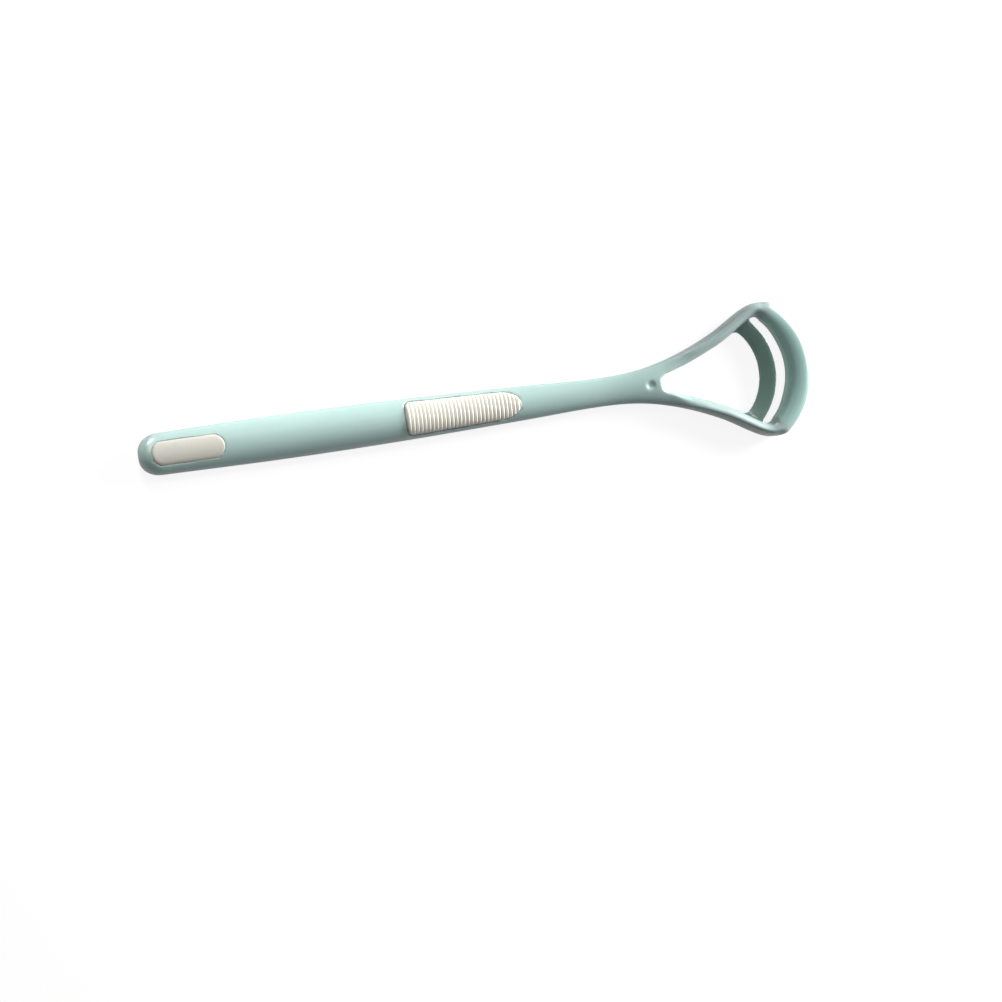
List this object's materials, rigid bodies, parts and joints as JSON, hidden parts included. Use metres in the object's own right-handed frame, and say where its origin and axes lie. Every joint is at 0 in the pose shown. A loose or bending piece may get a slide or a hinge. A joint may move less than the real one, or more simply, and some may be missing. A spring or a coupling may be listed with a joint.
{
  "type": "tongue scraper",
  "caption": "Slim moulded tongue scraper with a ribbed soft thumb pad and a bare tail inset; the handle forks into a flared head with curved outer and inner scraping blades.",
  "frame": {"origin": "on the flat back, at the middle of the footprint", "axes": "+X along the handle towards the blades, +Y across the handle, +Z out of the side with the thumb pad"},
  "size_m": [0.16, 0.0306, 0.0062],
  "materials": {
    "mint_plastic": "gloss, as moulded",
    "cream_grip": "satin soft grip",
    "cream_inset": "smooth satin"
  },
  "bodies": {
    "root": {"body": "mint_plastic", "grip_pad": "cream_grip", "tail_inset": "cream_inset"}
  },
  "joints": []
}
